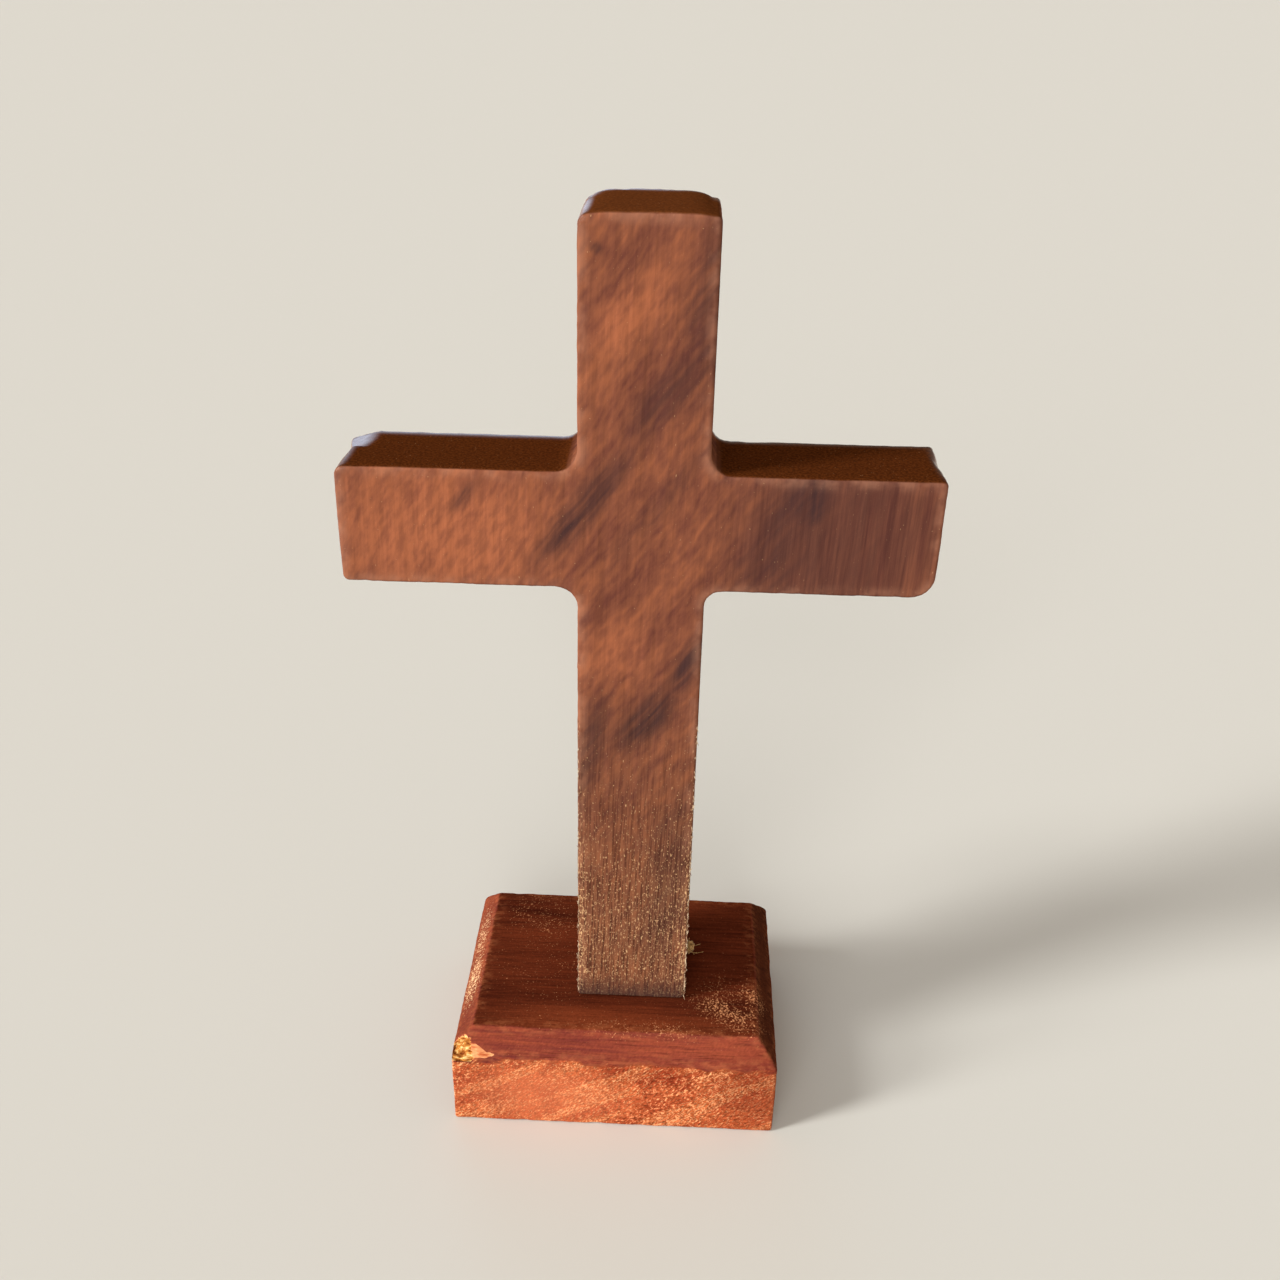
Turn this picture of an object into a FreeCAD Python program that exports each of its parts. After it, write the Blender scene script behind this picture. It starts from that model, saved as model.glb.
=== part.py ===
import FreeCAD, Part
import os

# A small standing altar cross: a cross sawn from one board, on a chamfered block.
# A countersunk wood screw, put in from below, holds the cross on the block.
# +X is towards the cross's right arm, +Y is the back and +Z is up. The origin is on the
# table, halfway along the arms and halfway through the depth of the block.

# Block
base_width = 50.0
base_depth = 37.6
base_height = 17.3
base_centre_x = -1.7        # the cross stands a little to the right on its block
chamfer_in = 3.1            # top chamfer, measured across the top
chamfer_down = 3.7          # and down the sides
base_corner_radius = 0.5

# Cross
board_thickness = 13.5
board_front_y = -8.6
post_width = 16.9
post_centre_x = 0.4
arm_span = 77.6
arm_height = 16.4
arm_underside_z = 88.9
cross_top_z = 137.0
inner_radius = 2.7          # the four corners between post and arms
worn_tip_radius = 3.2       # lower corner of the right arm, worn round
worn_foot_radius = 1.0      # right corner of the foot
end_radius = 0.6            # the other outside corners
arris_radius = 0.5          # front and back edges of the outline

# Wood screw, 3.5 x 30
screw_length = 30.0
screw_sink = 1.0            # head lies this far above the underside
head_radius = 3.5
head_rim = 0.3
shank_radius = 1.3
thread_radius = 1.75
core_radius = 1.15
thread_pitch = 1.6
thread_root = 0.9           # width of the thread where it meets the core
thread_crest = 0.16
thread_overlap = 0.15       # how far the thread's root reaches into the core
thread_length = 17.0
tip_length = 3.4
recess_width = 0.9
recess_span = 3.6
recess_depth = 1.7
clearance = 0.2             # around the thread in the block, and around the head's rim

board_middle_y = board_front_y + board_thickness / 2
screw_tip_z = screw_sink + screw_length
UP = FreeCAD.Vector(0, 0, 1)

os.makedirs("parts", exist_ok=True)


def vector(x, y, z):
    return FreeCAD.Vector(x, y, z)


def cylinder(radius, low, high):
    """An upright cylinder on the screw's axis."""
    return Part.makeCylinder(radius, high - low, vector(post_centre_x, board_middle_y, low), UP)


def cone(low_radius, high_radius, low, high):
    """An upright cone on the screw's axis."""
    place = vector(post_centre_x, board_middle_y, low)
    return Part.makeCone(low_radius, high_radius, high - low, place, UP)


def head_cone(extra):
    """The 90 degree underside of the screw's head, with a rim widened by extra."""
    low = screw_sink + head_rim
    rim = head_radius + extra
    return cone(rim, shank_radius, low, low + rim - shank_radius)


def thread():
    """One helical ridge, from the shank up to the start of the point."""
    top = screw_tip_z - tip_length
    bottom = top - thread_length
    path = Part.makeHelix(thread_pitch, thread_length, core_radius)
    buried = core_radius - thread_overlap
    corners = [
        vector(buried, 0, -thread_root / 2),
        vector(thread_radius, 0, -thread_crest / 2),
        vector(thread_radius, 0, thread_crest / 2),
        vector(buried, 0, thread_root / 2),
    ]
    profile = Part.makePolygon(corners + corners[:1])
    ridge = Part.Wire(path.Edges).makePipeShell([profile], True, True)
    ridge.translate(vector(post_centre_x, board_middle_y, bottom))
    return ridge


def recess():
    """The crossed driver slots in the underside of the head."""
    bars = []
    for turn in (0, 90):
        bar = Part.makeBox(recess_span, recess_width, recess_depth)
        bar.translate(vector(-recess_span / 2, -recess_width / 2, 0))
        bar.rotate(vector(0, 0, 0), UP, turn)
        bars.append(bar)
    slots = bars[0].fuse(bars[1])
    slots.translate(vector(post_centre_x, board_middle_y, screw_sink))
    return slots


def make_screw():
    point_z = screw_tip_z - tip_length
    thread_bottom = point_z - thread_length
    head = cylinder(head_radius, screw_sink, screw_sink + head_rim).fuse(head_cone(0))
    shank = cylinder(shank_radius, screw_sink + head_rim, thread_bottom)
    core = cylinder(core_radius, thread_bottom, point_z)
    point = cone(core_radius, 0, point_z, screw_tip_z)
    body = head.fuse([shank, core, point]).removeSplitter()
    return body.fuse(thread()).cut(recess())


def make_base():
    """A block with its four top edges cut away at a slant, drilled for the screw."""
    half_x = base_width / 2
    half_y = base_depth / 2
    slant_z = base_height - chamfer_down

    def outline(inset, z):
        x, y = half_x - inset, half_y - inset
        corners = [vector(-x, -y, z), vector(x, -y, z), vector(x, y, z), vector(-x, y, z)]
        return Part.makePolygon(corners + corners[:1])

    sides = Part.makeBox(base_width, base_depth, slant_z, vector(-half_x, -half_y, 0))
    slants = Part.makeLoft([outline(0, slant_z), outline(chamfer_in, base_height)], True)
    block = sides.fuse(slants)
    upright = [edge for edge in block.Edges if abs(edge.tangentAt(edge.FirstParameter).z) > 0.99]
    block = block.makeFillet(base_corner_radius, upright)
    block.translate(vector(base_centre_x, 0, 0))
    bore = cylinder(thread_radius + clearance, 0, base_height)
    well = cylinder(head_radius + clearance, 0, screw_sink + head_rim)
    return block.cut(bore.fuse([well, head_cone(clearance)]))


def cross_outline():
    """The front outline as (x, z, corner radius), from the foot's left corner, anticlockwise."""
    left = post_centre_x - post_width / 2
    right = post_centre_x + post_width / 2
    tip = arm_span / 2
    under = arm_underside_z
    over = arm_underside_z + arm_height
    return [
        (left, base_height, end_radius),
        (right, base_height, worn_foot_radius),
        (right, under, inner_radius),
        (tip, under, worn_tip_radius),
        (tip, over, end_radius),
        (right, over, inner_radius),
        (right, cross_top_z, end_radius),
        (left, cross_top_z, end_radius),
        (left, over, inner_radius),
        (-tip, over, end_radius),
        (-tip, under, end_radius),
        (left, under, inner_radius),
    ]


def rounded_wire(corners, y):
    """A closed wire in the plane at y, with an arc at each square corner."""
    edges = []
    starts = []
    ends = []
    for index, (x, z, radius) in enumerate(corners):
        here = vector(x, y, z)
        before = corners[index - 1]
        after = corners[(index + 1) % len(corners)]
        back = (vector(before[0], y, before[1]) - here).normalize()
        ahead = (vector(after[0], y, after[1]) - here).normalize()
        centre = here + (back + ahead) * radius
        middle = centre + (here - centre).normalize() * radius
        starts.append(here + back * radius)
        ends.append(here + ahead * radius)
        edges.append(Part.Arc(starts[-1], middle, ends[-1]).toShape())
    for index, end in enumerate(ends):
        edges.append(Part.LineSegment(end, starts[(index + 1) % len(starts)]).toShape())
    return Part.Wire(Part.__sortEdges__(edges))


def make_cross(screw):
    """The sawn board, with its arrises eased and its foot drilled by the screw."""
    face = Part.Face(rounded_wire(cross_outline(), board_front_y))
    board = face.extrude(vector(0, board_thickness, 0))
    arrises = []
    for edge in board.Edges:
        box = edge.BoundBox
        if box.YLength < arris_radius:
            arrises.append(edge)
    board = board.makeFillet(arris_radius, arrises)
    return board.cut(screw)


screw = make_screw()
pieces = {"base": make_base(), "cross": make_cross(screw), "screw": screw}
for name, shape in pieces.items():
    shape.exportStep("parts/" + name + ".step")
    print(name, "valid" if shape.isValid() else "not valid", round(shape.Volume), "mm3")
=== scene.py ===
import math
import random

import bmesh
import bpy
from mathutils import Matrix, Vector, kdtree, noise


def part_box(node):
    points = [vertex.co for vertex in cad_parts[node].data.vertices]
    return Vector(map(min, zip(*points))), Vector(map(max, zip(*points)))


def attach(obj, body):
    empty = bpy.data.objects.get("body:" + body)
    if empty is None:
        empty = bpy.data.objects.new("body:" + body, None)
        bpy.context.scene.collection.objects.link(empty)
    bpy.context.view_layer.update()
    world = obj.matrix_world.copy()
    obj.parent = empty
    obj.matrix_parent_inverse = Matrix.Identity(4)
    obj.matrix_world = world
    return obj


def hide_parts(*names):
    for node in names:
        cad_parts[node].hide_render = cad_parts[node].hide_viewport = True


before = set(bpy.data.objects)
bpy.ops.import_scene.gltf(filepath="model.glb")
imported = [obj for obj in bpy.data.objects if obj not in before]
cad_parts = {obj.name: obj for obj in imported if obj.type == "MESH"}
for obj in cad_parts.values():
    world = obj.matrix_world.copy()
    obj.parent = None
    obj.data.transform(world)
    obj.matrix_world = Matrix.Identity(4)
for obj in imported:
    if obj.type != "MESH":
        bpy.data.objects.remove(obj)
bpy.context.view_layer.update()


# Camera. It is held close, some 16 cm in front of the cross, a little above its top and to the
# right, and looks down, so the post and the arms seem to spread as they rise.
MM = 0.001
camera_data = bpy.data.cameras.new("camera")
camera_data.sensor_width = 36.0
camera_data.lens = 36.77
camera_data.clip_start = 0.01
camera = bpy.data.objects.new("camera", camera_data)
camera.location = Vector((4.44, -162.8, 165.5)) * MM
look_down, turn_left, lean = math.radians(28.56), math.radians(1.48), math.radians(1.38)
aim = Matrix.Rotation(turn_left, 3, "Z") @ Matrix.Rotation(math.pi / 2 - look_down, 3, "X")
camera.rotation_euler = (aim @ Matrix.Rotation(lean, 3, "Z")).to_euler()
bpy.context.scene.collection.objects.link(camera)
bpy.context.scene.camera = camera
bpy.context.scene.view_settings.view_transform = "Standard"


# Base. A small block of dense red-brown hardwood, its top edges planed to a chamfer, stained and
# oiled; the front is left from the saw. The grain runs from side to side. A knock has split a flake
# off the front left corner, and the screw's clearance hole comes up through the middle.
base_low, base_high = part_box("base")
screw_low, screw_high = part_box("screw")
screw_axis = Vector(((screw_low.x + screw_high.x) / 2, (screw_low.y + screw_high.y) / 2, 0))
CHAMFER_IN = 3.1 * MM
CHAMFER_DOWN = 3.7 * MM
ARRIS_RADIUS = 0.5 * MM
ARRIS_STEPS = 3
# The screw's clearance hole, with its countersink and the well for the head, in millimetres.
BORE_RADIUS = 1.95
WELL_RADIUS = 3.7
WELL_TOP = 1.3
CONE_TOP = 3.05
UNDER_BLOCK = -1
OVER_BLOCK = 19
HOLE_SIDES = 48
# The mesh that carries the wear has cells of this size, and finer ones near the knocked corner.
CELL = 0.5 * MM
KNOCK_REACH = 9 * MM


def drilled(shape, steps):
    """The shape with a hole up the screw's axis, its heights and radii given in millimetres."""
    drill = bmesh.new()
    profile = [drill.verts.new(screw_axis + Vector((radius, 0, z)) * MM) for z, radius in steps]
    lines = [drill.edges.new(pair) for pair in zip(profile, profile[1:])]
    bmesh.ops.spin(drill, geom=profile + lines, cent=screw_axis, axis=(0, 0, 1), angle=math.tau,
                   steps=HOLE_SIDES, use_merge=True)
    bmesh.ops.remove_doubles(drill, verts=drill.verts, dist=1e-6)
    bmesh.ops.recalc_face_normals(drill, faces=drill.faces)
    solids = []
    for name, made in (("blank", shape), ("drill", drill)):
        solids.append(bpy.data.objects.new(name, bpy.data.meshes.new(name)))
        made.to_mesh(solids[-1].data)
        made.free()
        bpy.context.scene.collection.objects.link(solids[-1])
    cut = solids[0].modifiers.new("bore", "BOOLEAN")
    cut.operation, cut.solver, cut.object = "DIFFERENCE", "EXACT", solids[1]
    result = bmesh.new()
    result.from_object(solids[0], bpy.context.evaluated_depsgraph_get())
    for solid in solids:
        bpy.data.meshes.remove(solid.data)
    return result


def slice_into_cells(shape, size):
    """Cuts the faces along planes this far apart on each axis, so that they can be worn."""
    for axis in range(3):
        places = [vertex.co[axis] for vertex in shape.verts]
        normal = Vector((0, 0, 0))
        normal[axis] = 1
        for step in range(1, math.ceil((max(places) - min(places)) / size)):
            everything = shape.verts[:] + shape.edges[:] + shape.faces[:]
            cut = normal * (min(places) + step * size)
            bmesh.ops.bisect_plane(shape, geom=everything, plane_co=cut, plane_no=normal, dist=1e-7)
    too_short = 0.04 * MM
    bmesh.ops.dissolve_degenerate(shape, edges=shape.edges, dist=too_short)


def wear(shape, reach, depth, waves, seed):
    """Rubs the outer arrises down unevenly and leaves the sawn faces a little wavy. The rubbing
    comes in stretches of about 7 mm with a fine 0.9 mm chatter, and in knocks of 2.6 mm. How close
    each place is to an arris is kept for the material."""
    arris = shape.verts.layers.float.new("arris")
    bend = math.radians(8)
    sharp = [edge for edge in shape.edges if edge.calc_face_angle_signed(0) > bend]
    tree = kdtree.KDTree(len(sharp))
    for index, edge in enumerate(sharp):
        tree.insert((edge.verts[0].co + edge.verts[1].co) / 2, index)
    tree.balance()
    shift = Vector((seed, seed * 2, seed * 3))
    shape.normal_update()
    for vertex in shape.verts:
        place = vertex.co / MM + shift
        near = math.exp(-(tree.find(vertex.co)[2] / reach) ** 2)
        knocks = max(0, noise.noise(place / 2.6) - 0.25) * 1.6
        rub = 0.45 + 0.55 * noise.noise(place / 7.0) + 0.35 * noise.noise(place / 0.9) + knocks
        wave = waves * (noise.noise(place / 8.0) + 0.4 * noise.noise(place / 2.0))
        vertex[arris] = near
        vertex.co += vertex.normal * (wave * (1 - near) - depth * near * max(0, rub))


def flake(shape, planes, ragged, bare):
    """Splits off what stands out past every plane, each given by three points in millimetres.
    Splinters up to about the ragged height stay, and the material is told how bare it is there."""
    raw = shape.verts.layers.float.get("raw") or shape.verts.layers.float.new("raw")
    faces = []
    for corners in planes:
        a, b, c = [Vector(corner) * MM for corner in corners]
        faces.append((a, (b - a).cross(c - a).normalized()))
    for vertex in shape.verts:
        proud, outwards = min(((vertex.co - a).dot(out), out[:]) for a, out in faces)
        if proud > 0:
            x, y, z = vertex.co / MM
            splinters = noise.noise((x / 1.1, y / 0.5, z / 0.5)) + noise.noise((x, y, z)) - 0.3
            vertex.co += Vector(outwards) * (min(proud, ragged * splinters * MM) - proud)
            vertex[raw] = max(vertex[raw], bare)


def finish_piece(shape, name, material):
    """Makes a smooth-shaded object of the shape, at the origin."""
    bmesh.ops.triangulate(shape, faces=[face for face in shape.faces if len(face.verts) > 4])
    mesh = bpy.data.meshes.new(name)
    shape.to_mesh(mesh)
    shape.free()
    mesh.shade_smooth()
    mesh.materials.append(material)
    piece = bpy.data.objects.new(name, mesh)
    bpy.context.scene.collection.objects.link(piece)
    return piece


def linear(colour):
    """An sRGB hex colour as linear red, green, blue and alpha."""
    parts = [int(colour[i:i + 2], 16) / 255 for i in (1, 3, 5)]
    return [c / 12.92 if c <= 0.04045 else ((c + 0.055) / 1.055) ** 2.4 for c in parts] + [1.0]


def node(tree, kind, *values, out=0, stops=(), **settings):
    """Adds a shader node with its settings, gives its inputs values or links in their order, and
    returns one of its outputs. None leaves an input alone, and stops are a ramp's."""
    made = tree.nodes.new("ShaderNode" + kind)
    for name, setting in settings.items():
        setattr(made, name, setting)
    for socket, value in zip([socket for socket in made.inputs if socket.enabled], values):
        if isinstance(value, bpy.types.NodeSocket):
            tree.links.new(value, socket)
        elif value is not None:
            socket.default_value = linear(value) if isinstance(value, str) else value
    for index, (position, colour) in enumerate(stops):
        marks = made.color_ramp.elements
        mark = marks[index] if index < 2 else marks.new(position)
        mark.position, mark.color = position, linear(colour)
    return made.outputs[out] if out else [socket for socket in made.outputs if socket.enabled][0]


def drawn_out(tree, place, sizes, lean=0.0, detail=3.0, roughness=0.5):
    """Noise drawn out along the grain: sizes in millimetres, leaning in degrees from upright."""
    along = node(tree, "Mapping", place, None, (0, math.radians(lean), 0), Vector(sizes) * MM,
                 vector_type="TEXTURE")
    return node(tree, "TexNoise", along, 1.0, detail, roughness)


def patches(tree, place, several):
    """The strongest of several soft patches, each a middle and a reach in millimetres, a lean
    from upright in degrees and a strength."""
    strongest = 0.0
    for middle, reach, lean, strength in several:
        inside = node(tree, "Mapping", place, Vector(middle) * MM, (0, math.radians(lean), 0),
                      Vector(reach) * MM, vector_type="TEXTURE")
        away = node(tree, "VectorMath", inside, operation="LENGTH")
        patch = node(tree, "MapRange", away, 1.0, 0.2, 0.0, strength,
                     interpolation_type="SMOOTHSTEP")
        strongest = node(tree, "Math", patch, strongest, operation="MAXIMUM")
    return strongest


def flecks(tree, place, sizes, lean, amount):
    """Grains of sawdust and broken fibre caught in the surface, more of them where amount is high.
    The real ones are 0.1 to 0.2 mm, and are drawn a little larger so that they show."""
    grit = drawn_out(tree, place, sizes, lean, 1.0)
    crowded = node(tree, "Math", amount, 0.2, grit, operation="MULTIPLY_ADD")
    return node(tree, "MapRange", crowded, 0.67, 0.90, interpolation_type="SMOOTHSTEP")


def block_wood():
    """Stained and oiled hardwood. The oil darkens the planed top and chamfers to a deep red-brown;
    the sawn front stays orange and furry, and catches the light in slanting bands. Dust dulls it
    all, so it mirrors nothing."""
    material = bpy.data.materials.new("oiled_hardwood_block")
    material.use_nodes = True
    tree = material.node_tree
    shader = tree.nodes["Principled BSDF"].inputs
    place = node(tree, "TexCoord", out="Object")
    height = node(tree, "SeparateXYZ", place, out="Z")
    facing = node(tree, "TexCoord", out="Normal")
    side = node(tree, "SeparateXYZ", facing, out="X")
    level = node(tree, "SeparateXYZ", facing, out="Z")

    # Stripes, fibres and hair lines along the grain, and cloudy stain across it.
    broad = drawn_out(tree, place, (34, 5, 5))
    fine = drawn_out(tree, place, (9, 0.45, 0.45), roughness=0.6)
    hair = drawn_out(tree, place, (5, 0.2, 0.2), detail=2.0)
    cloud = drawn_out(tree, place, (4, 4, 4))
    grain = node(tree, "Mix", 0.5, broad, fine)
    furry = node(tree, "Mix", 0.45, grain, cloud)

    top_tone = node(tree, "ValToRGB", grain, stops=[(0.36, "#3B160D"), (0.62, "#642C19")])
    slope_tone = node(tree, "ValToRGB", grain, stops=[(0.38, "#662C28"), (0.6, "#8A422F")])
    sawn_tone = node(tree, "ValToRGB", furry, stops=[(0.4, "#8A361F"), (0.6, "#AC5532")])

    on_top = node(tree, "MapRange", level, 0.82, 0.95)
    colour = node(tree, "Mix", on_top, slope_tone, top_tone, data_type="RGBA")
    # Paler patches on the top along its front and back edges; the one over its left part is a
    # painted sheen.
    fair = patches(tree, place, [
        ((-4, -14, 17), (26, 5, 4), 0, 0.5), ((4, 13, 17), (24, 6, 4), 0, 0.3),
        ((-18, 0, 17), (9, 14, 4), 0, 0.1)])
    fair = node(tree, "Math", fair, on_top, operation="MULTIPLY")
    colour = node(tree, "Mix", fair, colour, "#8A4226", data_type="RGBA")
    # The oil ran unevenly over the lower edge of the chamfer, and stopped there.
    runs = drawn_out(tree, place, (4, 3, 1.2))
    edge = node(tree, "Math", runs, 5 * MM, height, operation="MULTIPLY_ADD")
    below_edge = node(tree, "MapRange", edge, 15.9 * MM, 15.1 * MM)
    upright = node(tree, "MapRange", level, 0.45, 0.25)
    sawn = node(tree, "Math", upright, below_edge, operation="MULTIPLY")
    colour = node(tree, "Mix", sawn, colour, sawn_tone, data_type="RGBA")
    # The ends show end grain. The left chamfer is painted paler, a painted light from the left, and
    # the right one darker, a painted shade.
    ends = node(tree, "MapRange", node(tree, "Math", side, operation="ABSOLUTE"), 0.9, 0.98)
    pores = drawn_out(tree, place, (6, 0.4, 0.4), detail=2.0)
    rings = drawn_out(tree, place, (30, 1.1, 9), detail=2.0)
    end_grain = node(tree, "Mix", 0.5, pores, rings)
    end_tone = node(tree, "ValToRGB", end_grain, stops=[(0.38, "#5A2514"), (0.6, "#84421F")])
    colour = node(tree, "Mix", ends, colour, end_tone, data_type="RGBA")
    on_left = node(tree, "MapRange", side, -0.4, -0.7)
    painted_light_left_chamfer = node(tree, "Math", on_left, 0.2, operation="MULTIPLY")
    colour = node(tree, "Mix", painted_light_left_chamfer, colour, "#9A5636", data_type="RGBA")
    slope = node(tree, "MapRange", level, 0.3, 0.5)
    painted_shade_right_chamfer = node(tree, "MapRange", side, 0.4, 0.7, 0.0, 0.7)
    painted_shade_right_chamfer = node(tree, "Math", painted_shade_right_chamfer, slope, operation="MULTIPLY")
    colour = node(tree, "Mix", painted_shade_right_chamfer, colour, "#33200F", data_type="RGBA")
    lines = node(tree, "MapRange", hair, 0.56, 0.72, 0.0, 0.45)
    colour = node(tree, "Mix", lines, colour, "#38110A", data_type="RGBA")

    # Slanting bands that the saw left on the front. They hold more dust, and their lighter orange
    # is a painted sheen where the light catches them.
    slants = drawn_out(tree, place, (2.4, 8, 15), 62, 2.0)
    bands = node(tree, "MapRange", slants, 0.44, 0.6, interpolation_type="SMOOTHSTEP")
    broad_face = node(tree, "Math", sawn, ends, operation="SUBTRACT", use_clamp=True)
    banded = node(tree, "Math", bands, broad_face, operation="MULTIPLY")
    painted_band_sheen = node(tree, "Math", banded, 0.3, operation="MULTIPLY")
    colour = node(tree, "Mix", painted_band_sheen, colour, "#BE6E3C", data_type="RGBA")

    # Dust and broken fibre: on the top, along the rubbed left chamfer and all over the front.
    dusting = patches(tree, place, [
        ((17, -9.5, 17), (12, 10, 4), 0, 0.9), ((4, -15, 17), (22, 2.8, 4), 0, 0.75),
        ((-16, 10, 17), (10, 10, 4), 0, 0.6), ((-12, -4, 17), (14, 15, 4), 0, 0.35)])
    rubbed = patches(tree, place, [
        ((-25.6, -4, 15.5), (3.4, 11, 3.4), 0, 1.3), ((-25.6, 6, 15.5), (3.4, 14, 3.2), 0, 1.0)])
    on_sawn = node(tree, "Math", banded, 0.4, operation="MULTIPLY")
    on_sawn = node(tree, "Math", broad_face, 0.8, on_sawn, operation="MULTIPLY_ADD")
    drift = node(tree, "MapRange", drawn_out(tree, place, (6, 4, 4)), 0.38, 0.62, 0.6, 1.25)
    dusting = node(tree, "Math", dusting, drift, operation="MULTIPLY")
    dusting = node(tree, "Math", dusting, rubbed, operation="MAXIMUM")
    dusting = node(tree, "Math", dusting, on_sawn, operation="MAXIMUM")
    dusting = node(tree, "Math", dusting, 0.3, operation="SUBTRACT")
    grains = flecks(tree, place, (0.26, 0.26, 0.26), 0, dusting)
    slivers = flecks(tree, place, (0.24, 0.3, 0.6), 45, dusting)
    dust = node(tree, "Math", grains, slivers, operation="MAXIMUM")
    lit = node(tree, "Math", dust, 0.95, operation="MULTIPLY")
    # The flecks on the left chamfer are painted paler, as painted light from the left.
    fleck_tone_painted_light_left = node(tree, "Mix", on_left, "#DF9C6E", "#F6CA9C", data_type="RGBA")
    colour = node(tree, "Mix", lit, colour, fleck_tone_painted_light_left, data_type="RGBA")
    # The nap that the saw raised on the front. Each hair shades its neighbour.
    hairs = drawn_out(tree, place, (0.26, 0.3, 0.6), 45, 2.0)
    nap = node(tree, "Math", hairs, 0.5, operation="SUBTRACT")
    furred = node(tree, "Math", broad_face, 1.7, 0.8, operation="MULTIPLY_ADD")
    nap = node(tree, "Math", nap, furred, 1.0, operation="MULTIPLY_ADD")
    naps = node(tree, "CombineXYZ", nap, nap, nap)
    colour = node(tree, "Mix", 1.0, colour, naps, data_type="RGBA", blend_type="MULTIPLY")

    # Painted light across the front: paler on the left and painted shade to the right, with darker
    # bands across the upper middle and lower left. Pale wood where the arrises are worn.
    pale = patches(tree, place, [((-13, -19, 6), (18, 4, 10), 0, 0.45)])
    pale = node(tree, "Math", pale, sawn, operation="MULTIPLY")
    colour = node(tree, "Mix", pale, colour, "#CC7450", data_type="RGBA")
    shaded = patches(tree, place, [
        ((21, -19, 9), (12, 4, 12), 0, 0.85), ((2, -19, 12), (14, 4, 3.5), 0, 0.45),
        ((-20, -19, 5), (9, 4, 4), 70, 0.35)])
    shaded = node(tree, "Math", shaded, furry, operation="MULTIPLY")
    colour = node(tree, "Mix", shaded, colour, "#5A2018", data_type="RGBA")
    arris = node(tree, "Attribute", out="Fac", attribute_name="arris")
    rubs = drawn_out(tree, place, (1.5, 0.8, 0.8))
    rub = node(tree, "MapRange", rubs, 0.45, 0.65, 0.0, 0.2)
    worn = node(tree, "Math", arris, rub, operation="MULTIPLY")
    colour = node(tree, "Mix", worn, colour, "#C87A50", data_type="RGBA")

    # Bare wood in the split: brown and clean at its edge, yellow and splintered in its depth.
    raw = node(tree, "Attribute", out="Fac", attribute_name="raw")
    splinters = drawn_out(tree, place, (1.6, 0.5, 0.5), detail=4.0)
    sliver_tone = node(tree, "ValToRGB", splinters, stops=[(0.35, "#A85430"), (0.62, "#E0A070")])
    deep_tone = node(tree, "ValToRGB", splinters,
                     stops=[(0.36, "#7E421E"), (0.5, "#BC7C3A"), (0.62, "#EACB8C")])
    split = node(tree, "MapRange", raw, 0.2, 0.35)
    colour = node(tree, "Mix", split, colour, sliver_tone, data_type="RGBA")
    deep = node(tree, "MapRange", raw, 0.6, 0.8)
    colour = node(tree, "Mix", deep, colour, deep_tone, data_type="RGBA")
    tree.links.new(colour, shader["Base Color"])

    dull = node(tree, "Math", cloud, 0.3, 0.42, operation="MULTIPLY_ADD")
    dusty = node(tree, "Math", dust, 0.9, operation="MULTIPLY")
    dull = node(tree, "Math", dull, dusty, operation="MAXIMUM")
    dull = node(tree, "Math", dull, split, operation="MAXIMUM")
    tree.links.new(dull, shader["Roughness"])
    relief = node(tree, "Math", dust, 0.6, fine, operation="MULTIPLY_ADD")
    bump = node(tree, "Bump", 0.35, 0.06 * MM, None, relief)
    tree.links.new(bump, shader["Normal"])
    shader["Specular IOR Level"].default_value = 0.0
    return material


base_shape = bmesh.new()
bmesh.ops.create_cube(base_shape, size=1)
bmesh.ops.scale(base_shape, verts=base_shape.verts, vec=base_high - base_low)
bmesh.ops.translate(base_shape, verts=base_shape.verts, vec=(base_low + base_high) / 2)
bmesh.ops.bisect_plane(
    base_shape, geom=base_shape.verts[:] + base_shape.edges[:] + base_shape.faces[:],
    plane_co=(0, 0, base_high.z - CHAMFER_DOWN), plane_no=(0, 0, 1))
top = [vertex for vertex in base_shape.verts if vertex.co.z > base_high.z - MM]
size = base_high - base_low
narrowed = Vector((1 - 2 * CHAMFER_IN / size.x, 1 - 2 * CHAMFER_IN / size.y, 1))
middle = Matrix.Translation(-(base_low + base_high) / 2)
bmesh.ops.scale(base_shape, verts=top, vec=narrowed, space=middle)
bmesh.ops.bevel(base_shape, geom=base_shape.edges[:], offset=ARRIS_RADIUS, segments=ARRIS_STEPS,
                profile=0.5, affect="EDGES", material=-1)
base_shape = drilled(base_shape, [
    (UNDER_BLOCK, 0), (UNDER_BLOCK, WELL_RADIUS), (WELL_TOP, WELL_RADIUS),
    (CONE_TOP, BORE_RADIUS), (OVER_BLOCK, BORE_RADIUS), (OVER_BLOCK, 0)])
slice_into_cells(base_shape, CELL)
wear(base_shape, reach=0.9 * MM, depth=0.16 * MM, waves=0.015 * MM, seed=3)
# Its underside has been rubbed flat on tables.
for vertex in base_shape.verts:
    vertex.co.z = max(vertex.co.z, base_low.z)
knock = Vector((base_low.x, base_low.y, base_high.z - CHAMFER_DOWN))
near_knock = [edge for edge in base_shape.edges
              if max((vertex.co - knock).length for vertex in edge.verts) < KNOCK_REACH]
bmesh.ops.subdivide_edges(base_shape, edges=near_knock, cuts=1, use_grid_fill=True)
long_sliver = [[(-25, -17.1, 15.6), (-24, -18.8, 12.9), (-18.4, -18.75, 13.7)]]
deep_split = [[(-26.7, -15.8, 13.4), (-23.4, -18.8, 12.8), (-24.5, -16.6, 16.1)],
              [(-26.7, -18.8, 12.6), (-20, -18.8, 12.9), (-24, -15, 13.6)]]
flake(base_shape, long_sliver, ragged=0.12, bare=0.5)
flake(base_shape, deep_split, ragged=0.7, bare=1.0)
base = finish_piece(base_shape, "chamfered_base", block_wood())
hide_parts("base")
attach(base, "root")


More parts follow.
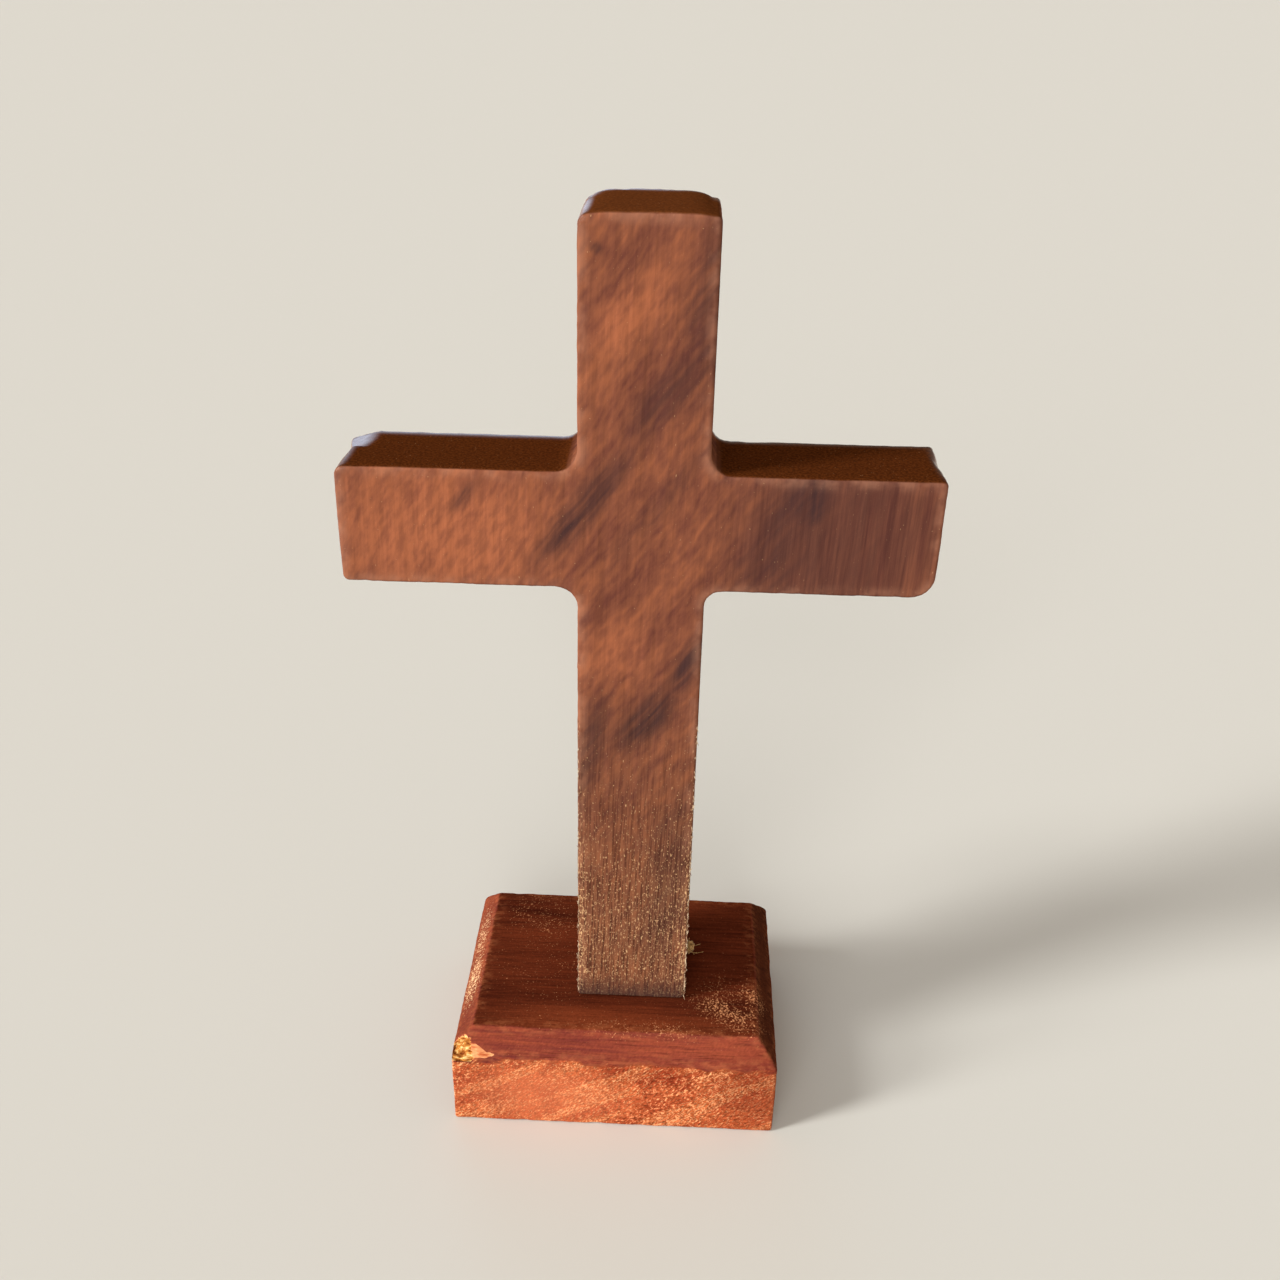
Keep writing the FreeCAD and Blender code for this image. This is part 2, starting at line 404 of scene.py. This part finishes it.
# Cross. One flat board of the same hardwood, sawn to outline with the grain upright, so the dark
# figure runs on from the post into both arms. The saw left small rounds in the inner corners, and
# handling has rounded the outer ones. The screw's pilot hole goes up into the foot.
cross_low, cross_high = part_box("cross")
POST_LEFT = -8.05 * MM
POST_RIGHT = 8.85 * MM
ARM_UNDER = 88.9 * MM
ARM_OVER = 105.3 * MM
BOARD_FRONT = cross_low.y / MM
BOARD_THICKNESS = (cross_high.y - cross_low.y) / MM
CORNER_STEPS = 6
# The pilot hole, in millimetres.
PILOT_RADIUS = 1.8
PILOT_SHOULDER = 28
PILOT_POINT = 31.5
UNDER_FOOT = 16
# The outline's corners, anticlockwise from the foot's left one. Each radius is in millimetres.
outline = [
    (POST_LEFT, cross_low.z, 0.6),
    (POST_RIGHT, cross_low.z, 1.0),
    (POST_RIGHT, ARM_UNDER, 2.3),
    (cross_high.x, ARM_UNDER, 3.2),
    (cross_high.x, ARM_OVER, 0.8),
    (POST_RIGHT, ARM_OVER, 2.7),
    (POST_RIGHT, cross_high.z, 0.8),
    (POST_LEFT, cross_high.z, 1.4),
    (POST_LEFT, ARM_OVER, 2.8),
    (cross_low.x, ARM_OVER, 1.6),
    (cross_low.x, ARM_UNDER, 0.9),
    (POST_LEFT, ARM_UNDER, 3.0),
]


def settle(shape):
    """Gives the board what the saw and the years did: the arms rise a little to the right, the
    post's top is crowned at the back, and each arm's end is dented at the top. All is in
    millimetres."""
    slope, slope_start, slope_eased = 0.0045, 20, 60
    crown_start, crown_middle, crown_half = 128, 0.4, 7.4
    arm_start, arm_reach, end_part = 20, 19, 0.07
    for vertex in shape.verts:
        x, y, z = vertex.co / MM
        z += slope * x * min(1, max(0, (z - slope_start) / slope_eased))
        back = (y - BOARD_FRONT) / BOARD_THICKNESS
        if z > crown_start:
            crown = max(0, 1 - ((x - crown_middle) / crown_half) ** 6)
            z += (z - crown_start) / 9 * (0.25 + 0.55 * back) * (crown - 0.35)
        if abs(x) > arm_start and z > 80:
            out = (abs(x) - arm_start) / arm_reach
            end = max(0, out - 1 + end_part) / end_part
            dent = end * math.exp(-((y + 1) / 2.5) ** 2)
            if x > 0:
                z -= 0.9 * dent
            else:
                upper = min(1, max(0, (z - 99) / 4))
                proud_back = 0.6 * end * max(0, y / 4.9)
                x += 0.8 * dent * upper - 0.35 * out - proud_back
        vertex.co = Vector((x, y, z)) * MM


def through_board(tree, place, rows):
    """Patches that go right through the board. A row is the middle's x and z, the reach across and
    upwards, the lean and the strength."""
    return patches(tree, place, [
        ((x, BOARD_FRONT, z), (across, 30, up), lean, strength)
        for x, z, across, up, lean, strength in rows])


def board_wood():
    """The same hardwood, thinly oiled: dark figure slants across upright fibres, and the foot is
    rubbed dry and furred with dust. The end grain on top of the post and arms drinks the oil. The
    faces are too matt to mirror anything, and only the handled arrises have a polish."""
    material = bpy.data.materials.new("thinly_oiled_figured_hardwood")
    material.use_nodes = True
    tree = material.node_tree
    shader = tree.nodes["Principled BSDF"].inputs
    place = node(tree, "TexCoord", out="Object")
    height = node(tree, "SeparateXYZ", place, out="Z")
    level = node(tree, "SeparateXYZ", node(tree, "TexCoord", out="Normal"), out="Z")

    # The figure wanders by a millimetre or so, as in wild grain.
    swirl = node(tree, "TexNoise", place, 1 / (9 * MM), 2.0, out="Color")
    swirl = node(tree, "VectorMath", swirl, (0.5, 0.5, 0.5), operation="SUBTRACT")
    swirl = node(tree, "VectorMath", swirl, 1.5 * MM, operation="SCALE")
    bent = node(tree, "VectorMath", place, swirl, operation="ADD")

    figure = drawn_out(tree, bent, (2.8, 9, 28), 37)
    short = drawn_out(tree, bent, (0.8, 2, 2.3), 27)
    fibres = drawn_out(tree, place, (0.4, 0.4, 9), 1.5, roughness=0.6)
    coarse = drawn_out(tree, place, (1.3, 1.3, 24), 1.5, 2.0)
    cloud = drawn_out(tree, place, (3, 3, 3))

    # The right arm and the board's edges have plain upright grain in place of the figure.
    tone = node(tree, "Mix", 0.45, figure, short)
    plain = patches(tree, place, [((30, BOARD_FRONT, 97), (24, 40, 40), 0, 0.85)])
    tone = node(tree, "Mix", plain, tone, node(tree, "Mix", 0.35, coarse, fibres))
    across = node(tree, "SeparateXYZ", node(tree, "TexCoord", out="Normal"), out="X")
    on_side = node(tree, "MapRange", node(tree, "Math", across, operation="ABSOLUTE"),
                   0.5, 0.9, 0.0, 0.85)
    tone = node(tree, "Mix", on_side, tone, coarse)
    colour = node(tree, "ValToRGB", tone,
                  stops=[(0.36, "#5F372E"), (0.5, "#734534"), (0.64, "#875139")])
    fair = through_board(tree, bent, [
        (-25, 97, 22, 14, 0, 0.8), (-2, 125, 4.5, 9, 38, 0.65), (-6, 114, 5, 12, 20, 0.15),
        (-3, 79, 6, 8, 20, 0.5)])
    mottled = node(tree, "MapRange", short, 0.38, 0.62, 0.5, 0.95)
    fair = node(tree, "Math", fair, mottled, operation="MULTIPLY")
    colour = node(tree, "Mix", fair, colour, "#9F5F42", data_type="RGBA")
    # Dark mineral stain, drawn out in veins.
    stain = through_board(tree, bent, [
        (3.6, 116, 4.0, 12, 37, 0.68), (-7.5, 100, 3.2, 15, 37, 1.0),
        (2.5, 101, 2.4, 16, 37, 0.38), (19, 97, 9.5, 20, 20, 0.82), (26, 97, 21, 24, 12, 0.75),
        (1.6, 69, 4.2, 10, 37, 1.0), (7.2, 78, 3.0, 9, 25, 1.0), (-6.5, 63, 3.4, 14, 12, 0.8),
        (8.0, 127, 4.2, 19, 8, 0.65), (21.5, 103, 7.5, 11, 10, 1.0),
        (-22.5, 101.5, 1.5, 5, 38, 0.7), (5.5, 40, 5, 24, 5, 0.7), (-5.9, 133, 1.1, 1.1, 0, 0.8)])
    veins = drawn_out(tree, bent, (0.9, 4, 12), 37)
    veins = node(tree, "Mix", plain, veins, coarse)
    veined = node(tree, "MapRange", veins, 0.34, 0.62, 0.55, 0.95)
    stain = node(tree, "Math", stain, veined, operation="MULTIPLY", use_clamp=True)
    colour = node(tree, "Mix", stain, colour, "#3A2829", data_type="RGBA")
    shade = node(tree, "Math", coarse, 0.3, 0.53, operation="MULTIPLY_ADD")
    shade = node(tree, "Math", fibres, 0.6, shade, operation="MULTIPLY_ADD")
    shades = node(tree, "CombineXYZ", shade, shade, shade)
    colour = node(tree, "Mix", 1.0, colour, shades, data_type="RGBA", blend_type="MULTIPLY")

    # Paler wood where the arrises are rubbed, and oil-dark end grain, painted lighter towards the
    # top of the post as a painted sheen.
    arris = node(tree, "Attribute", out="Fac", attribute_name="arris")
    rub = node(tree, "MapRange", cloud, 0.42, 0.6, 0.05, 0.3)
    worn = node(tree, "Math", arris, rub, operation="MULTIPLY")
    colour = node(tree, "Mix", worn, colour, "#B07E66", data_type="RGBA")
    ends = node(tree, "MapRange", node(tree, "Math", level, operation="ABSOLUTE"), 0.6, 0.9)
    pores = drawn_out(tree, place, (0.35, 0.35, 3), detail=2.0)
    end_tone = node(tree, "ValToRGB", pores, stops=[(0.4, "#411F0B"), (0.6, "#552B11")])
    painted_top_sheen = node(tree, "MapRange", height, 120 * MM, 130 * MM, 0.0, 0.3)
    end_tone = node(tree, "Mix", painted_top_sheen, end_tone, "#6E4022", data_type="RGBA")
    colour = node(tree, "Mix", ends, colour, end_tone, data_type="RGBA")

    # Towards the foot the oil is scratched away along the grain, and dust and fibre hang on.
    low_down = node(tree, "MapRange", height, 84 * MM, 28 * MM, interpolation_type="SMOOTHSTEP")
    scratches = drawn_out(tree, place, (0.26, 0.26, 7), 1.5, 2.0)
    scuffed = node(tree, "MapRange", scratches, 0.4, 0.66, 0.1, 0.45)
    rubbed = node(tree, "Math", low_down, scuffed, operation="MULTIPLY")
    colour = node(tree, "Mix", rubbed, colour, "#7C563B", data_type="RGBA")
    furrows = node(tree, "MapRange", scratches, 0.54, 0.38, 0.0, 0.75)
    furrows = node(tree, "Math", low_down, furrows, operation="MULTIPLY")
    colour = node(tree, "Mix", furrows, colour, "#3A2018", data_type="RGBA")
    fluff = node(tree, "Math", arris, 0.3, 0.75, operation="MULTIPLY_ADD")
    dusting = node(tree, "Math", low_down, fluff, operation="MULTIPLY")
    dusting = node(tree, "Math", dusting, 0.3, operation="SUBTRACT")
    grains = flecks(tree, place, (0.27, 0.27, 0.3), 0, dusting)
    slivers = flecks(tree, place, (0.22, 0.22, 0.8), 3, dusting)
    dust = node(tree, "Math", grains, slivers, operation="MAXIMUM")
    lit = node(tree, "Math", dust, 0.9, operation="MULTIPLY")
    colour = node(tree, "Mix", lit, colour, "#D4AC80", data_type="RGBA")
    foot = node(tree, "MapRange", height, 22 * MM, 18.0 * MM, 0.0, 0.8)
    colour = node(tree, "Mix", foot, colour, "#3E2A28", data_type="RGBA")
    tree.links.new(colour, shader["Base Color"])

    # Hands have polished the back arrises, the left arm's end and the upper corners.
    dull = node(tree, "Math", cloud, 0.3, 0.42, operation="MULTIPLY_ADD")
    dusty = node(tree, "Math", dust, 0.9, operation="MULTIPLY")
    tree.links.new(node(tree, "Math", dull, dusty, operation="MAXIMUM"), shader["Roughness"])
    handled = patches(tree, place, [
        ((0, 6.5, 110), (90, 6, 90), 0, 1.0), ((-39, -2, 98), (2.4, 18, 15), 0, 1.0),
        ((-8, -3, 137), (1.8, 10, 4), 0, 0.8), ((39, 0, 104), (2.4, 12, 4), 0, 1.0)])
    burnish = node(tree, "Math", arris, handled, operation="MULTIPLY")
    corner = patches(tree, place, [((-38.3, 2.5, 104.5), (3.4, 5.5, 3), 0, 1.0)])
    burnish = node(tree, "Math", burnish, corner, operation="MAXIMUM")
    tree.links.new(burnish, shader["Coat Weight"])
    shader["Coat Roughness"].default_value = 0.18
    relief = node(tree, "Math", dust, 0.6, fibres, operation="MULTIPLY_ADD")
    bump = node(tree, "Bump", 0.3, 0.05 * MM, None, relief)
    tree.links.new(bump, shader["Normal"])
    shader["Specular IOR Level"].default_value = 0.0
    return material


cross_shape = bmesh.new()
front = cross_shape.faces.new([cross_shape.verts.new((x, cross_low.y, z)) for x, z, r in outline])
pulled = bmesh.ops.extrude_face_region(cross_shape, geom=[front])["geom"]
back_verts = [part for part in pulled if isinstance(part, bmesh.types.BMVert)]
bmesh.ops.translate(cross_shape, verts=back_verts, vec=(0, cross_high.y - cross_low.y, 0))
bmesh.ops.recalc_face_normals(cross_shape, faces=cross_shape.faces)
for x, z, radius in outline:
    through = [edge for edge in cross_shape.edges
               if all(abs(v.co.x - x) + abs(v.co.z - z) < 1e-6 for v in edge.verts)]
    bmesh.ops.bevel(cross_shape, geom=through, offset=radius * MM, segments=CORNER_STEPS,
                    profile=0.5, affect="EDGES", material=-1)
rim = [edge for edge in cross_shape.edges
       if len({round(abs(face.normal.y)) for face in edge.link_faces}) == 2]
bmesh.ops.bevel(cross_shape, geom=rim, offset=ARRIS_RADIUS, segments=ARRIS_STEPS,
                profile=0.5, affect="EDGES", material=-1)
cross_shape = drilled(cross_shape, [
    (UNDER_FOOT, 0), (UNDER_FOOT, PILOT_RADIUS), (PILOT_SHOULDER, PILOT_RADIUS), (PILOT_POINT, 0)])
slice_into_cells(cross_shape, CELL)
wear(cross_shape, reach=0.8 * MM, depth=0.14 * MM, waves=0.015 * MM, seed=11)
settle(cross_shape)
# The first plane slopes off the left arm's upper back corner, and the others keep it to there.
knocked_corner = [[(-35.5, 5.5, 105.1), (-39.4, 5.5, 103.9), (-35.5, -2, 105.1)],
                  [(-38, -1.5, 100), (-38, -1.5, 101), (-37, -1.5, 100)],
                  [(-30, 0, 100), (-30, 0, 101), (-30, 1, 100)]]
flake(cross_shape, knocked_corner, ragged=0.05, bare=0.0)
cross = finish_piece(cross_shape, "sawn_cross", board_wood())
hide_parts("cross")
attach(cross, "root")


# Raised fibres. Short splinters of the board's own wood that the saw lifted along the lower
# arrises, where nobody sanded them off. Each is still rooted in the post.
FIBRES = 320
FIBRE_ROOT = 0.22 * MM      # how far inside the arris each one starts
FIBRE_RADIUS = 0.08 * MM
FIBRE_TIP = 0.02 * MM
LOWEST_FIBRE = 0.7 * MM
FIBRE_RANGE = 50 * MM


def dry_fibre():
    """The bare inside of the hardwood: pale, matt and dusty beside the oiled face."""
    material = bpy.data.materials.new("dry_hardwood_fibre")
    material.use_nodes = True
    tree = material.node_tree
    shader = tree.nodes["Principled BSDF"].inputs
    mixed = drawn_out(tree, node(tree, "TexCoord", out="Object"), (0.6, 0.6, 0.6), detail=2.0)
    tint = node(tree, "ValToRGB", mixed, stops=[(0.4, "#85604A"), (0.6, "#D2BCA0")])
    tree.links.new(tint, shader["Base Color"])
    shader["Roughness"].default_value = 0.95
    shader["Specular IOR Level"].default_value = 0.01
    return material


splinters_shape = bmesh.new()
lift = random.Random(5)
for _ in range(FIBRES):
    side = lift.choice((-1, 1))
    face = lift.choice((-1, -1, 1))
    edge_x = (POST_LEFT if side < 0 else POST_RIGHT) - side * FIBRE_ROOT
    edge_y = (cross_low.y if face < 0 else cross_high.y) - face * FIBRE_ROOT
    above_foot = LOWEST_FIBRE + FIBRE_RANGE * lift.random() ** 1.6
    root = Vector((edge_x, edge_y, cross_low.z + above_foot))
    length = lift.uniform(0.4, 1.1) * MM
    outwards = Vector((side * lift.uniform(0.1, 1), face * lift.uniform(0.1, 1), 0)) * 0.45
    along = (outwards + Vector((0, 0, lift.choice((-1, 1))))).normalized()
    turn = along.to_track_quat("Z", "Y").to_matrix().to_4x4()
    stand = Matrix.Translation(root + along * length / 2) @ turn
    bmesh.ops.create_cone(splinters_shape, cap_ends=True, segments=4, radius1=FIBRE_RADIUS,
                          radius2=FIBRE_TIP, depth=length, matrix=stand)
splinters = finish_piece(splinters_shape, "raised_fibres", dry_fibre())
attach(splinters, "root")


# Screw. A countersunk wood screw of zinc-plated steel, driven up through the block into the foot of
# the cross. Its crossed slots show in the hole underneath.
def plated_steel():
    """Bright zinc over rolled steel: a pale blue-grey metal, dulled and mottled by handling."""
    material = bpy.data.materials.new("zinc_plated_steel")
    material.use_nodes = True
    tree = material.node_tree
    shader = tree.nodes["Principled BSDF"].inputs
    place = node(tree, "TexCoord", out="Object")
    bloom = drawn_out(tree, place, (1.2, 1.2, 1.2))
    tint = node(tree, "ValToRGB", bloom, stops=[(0.4, "#A9AAA4"), (0.6, "#C9CCCF")])
    tree.links.new(tint, shader["Base Color"])
    rolled = drawn_out(tree, place, (0.3, 0.3, 0.08), detail=2.0)
    tree.links.new(node(tree, "MapRange", rolled, 0.3, 0.7, 0.24, 0.46), shader["Roughness"])
    tree.links.new(node(tree, "Bump", 0.2, 0.02 * MM, None, rolled), shader["Normal"])
    shader["Metallic"].default_value = 1.0
    return material


for face_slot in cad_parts["screw"].material_slots:
    face_slot.material = plated_steel()


# Tuft. A wisp of tan cotton lint that has caught in the angle between the post's right side and
# the block: a felted core with short hairs all over it and three long loose ones.
HAIRS = 20
LONG_HEADINGS = (40, -38, -64)      # degrees above level
HAIR_RADIUS = 0.045 * MM
HAIR_SPANS = 3
# The hairs keep just off the post and the block. These and the core's radii are in millimetres.
POST_SIDE = POST_RIGHT / MM + 0.15
BLOCK_TOP = base_high.z / MM + 0.1
NEST = Vector((POST_SIDE + 0.5, 2.6, BLOCK_TOP + 0.8))
CORE_SIZE = (0.75, 0.9, 1.1)


def lint():
    """Cotton lint: pale, soft and quite matt, with a little sheen from its loose hairs."""
    material = bpy.data.materials.new("cotton_lint")
    material.use_nodes = True
    tree = material.node_tree
    shader = tree.nodes["Principled BSDF"].inputs
    place = node(tree, "TexCoord", out="Object")
    mixed = drawn_out(tree, place, (0.3, 0.3, 0.3), detail=2.0)
    tint = node(tree, "ValToRGB", mixed, stops=[(0.4, "#8C6636"), (0.6, "#D6AE72")])
    tree.links.new(tint, shader["Base Color"])
    shader["Roughness"].default_value = 1.0
    shader["Sheen Weight"].default_value = 0.1
    return material


draw = random.Random(7)
wisp = bpy.data.curves.new("lint_fibres", "CURVE")
wisp.dimensions = "3D"
wisp.bevel_depth = HAIR_RADIUS
wisp.bevel_resolution = 1
wisp.resolution_u = 4
wisp.use_fill_caps = True
for hair in range(HAIRS):
    long_one = hair < len(LONG_HEADINGS)
    strand = wisp.splines.new("NURBS")
    strand.points.add(HAIR_SPANS)
    heading = math.radians(LONG_HEADINGS[hair] if long_one else draw.uniform(-90, 90))
    reach = draw.uniform(2.4, 3.0) if long_one else draw.uniform(0.3, 0.7)
    start = NEST + Vector([draw.uniform(-0.35, 0.35), draw.uniform(-0.8, 0.8),
                           draw.uniform(-0.8, 0.9)])
    for index, point in enumerate(strand.points):
        gone = reach * index / HAIR_SPANS
        away = Vector((math.cos(heading), 0.25 * draw.uniform(-1, 1), math.sin(heading))) * gone
        bow = Vector((0.2, draw.uniform(-0.3, 0.3), 0.35)) * math.sin(index) * 0.6
        spot = start + away + bow
        spot.x, spot.z = max(spot.x, POST_SIDE), max(spot.z, BLOCK_TOP)
        point.co = (*(spot * MM), 1)
    strand.order_u = 3
    strand.use_endpoint_u = True
strands = bpy.data.objects.new("lint_fibres", wisp)
bpy.context.scene.collection.objects.link(strands)
tuft_shape = bmesh.new()
tuft_shape.from_mesh(bpy.data.meshes.new_from_object(
    strands.evaluated_get(bpy.context.evaluated_depsgraph_get())))
bpy.data.objects.remove(strands)
core = bmesh.ops.create_icosphere(tuft_shape, subdivisions=3, radius=1)["verts"]
for vertex in core:
    vertex.co *= 1 + 0.5 * noise.noise(vertex.co * 2.3)
    vertex.co = (NEST + vertex.co * Vector(CORE_SIZE)) * MM
tuft = finish_piece(tuft_shape, "lint_tuft", lint())
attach(tuft, "root")


# Floor and light. A plain pale floor, the light of a tall window far off to the front left, a
# softer light in front, and a weak cool one behind to the left that runs along the worn arrises.
FLOOR_SIZE = 6      # metres
floor_shape = bmesh.new()
bmesh.ops.create_grid(floor_shape, x_segments=1, y_segments=1, size=FLOOR_SIZE)
floor_paint = bpy.data.materials.new("pale_floor")
floor_paint.use_nodes = True
floor_surface = floor_paint.node_tree.nodes["Principled BSDF"].inputs
floor_surface["Base Color"].default_value = linear("#D5D7D5")
floor_surface["Roughness"].default_value = 1.0
floor_surface["Specular IOR Level"].default_value = 0.0
floor = finish_piece(floor_shape, "floor", floor_paint)

room = bpy.data.worlds.new("room")
room.use_nodes = True
in_view = node(room.node_tree, "LightPath", out="Is Camera Ray")
walls = node(room.node_tree, "Mix", in_view, "#ACA194", "#E6E1D8", data_type="RGBA")
room.node_tree.links.new(walls, room.node_tree.nodes["Background"].inputs["Color"])
bpy.context.scene.world = room


def lamp(name, heading, height, spread, strength, colour):
    """A far soft lamp. Its heading is in degrees to the left of straight in front, its height in
    degrees above the floor, and its spread in degrees across."""
    data = bpy.data.lights.new(name, "SUN")
    data.energy = strength
    data.angle = math.radians(spread)
    data.color = linear(colour)[:3]
    made = bpy.data.objects.new(name, data)
    towards = Matrix.Rotation(-math.radians(heading), 3, "Z") @ Vector((0, -1, 0))
    towards.z = math.tan(math.radians(height))
    made.rotation_euler = towards.to_track_quat("Z", "Y").to_euler()
    bpy.context.scene.collection.objects.link(made)


for part, height in (("low", 12), ("middle", 25), ("high", 38)):
    lamp("window_" + part, 67, height, 12, 1.2, "#FFFAF2")
lamp("front_fill", 11, 16, 40, 2.2, "#FFF8F0")
lamp("back_glint", 162, 9, 36, 0.6, "#CFE2FF")
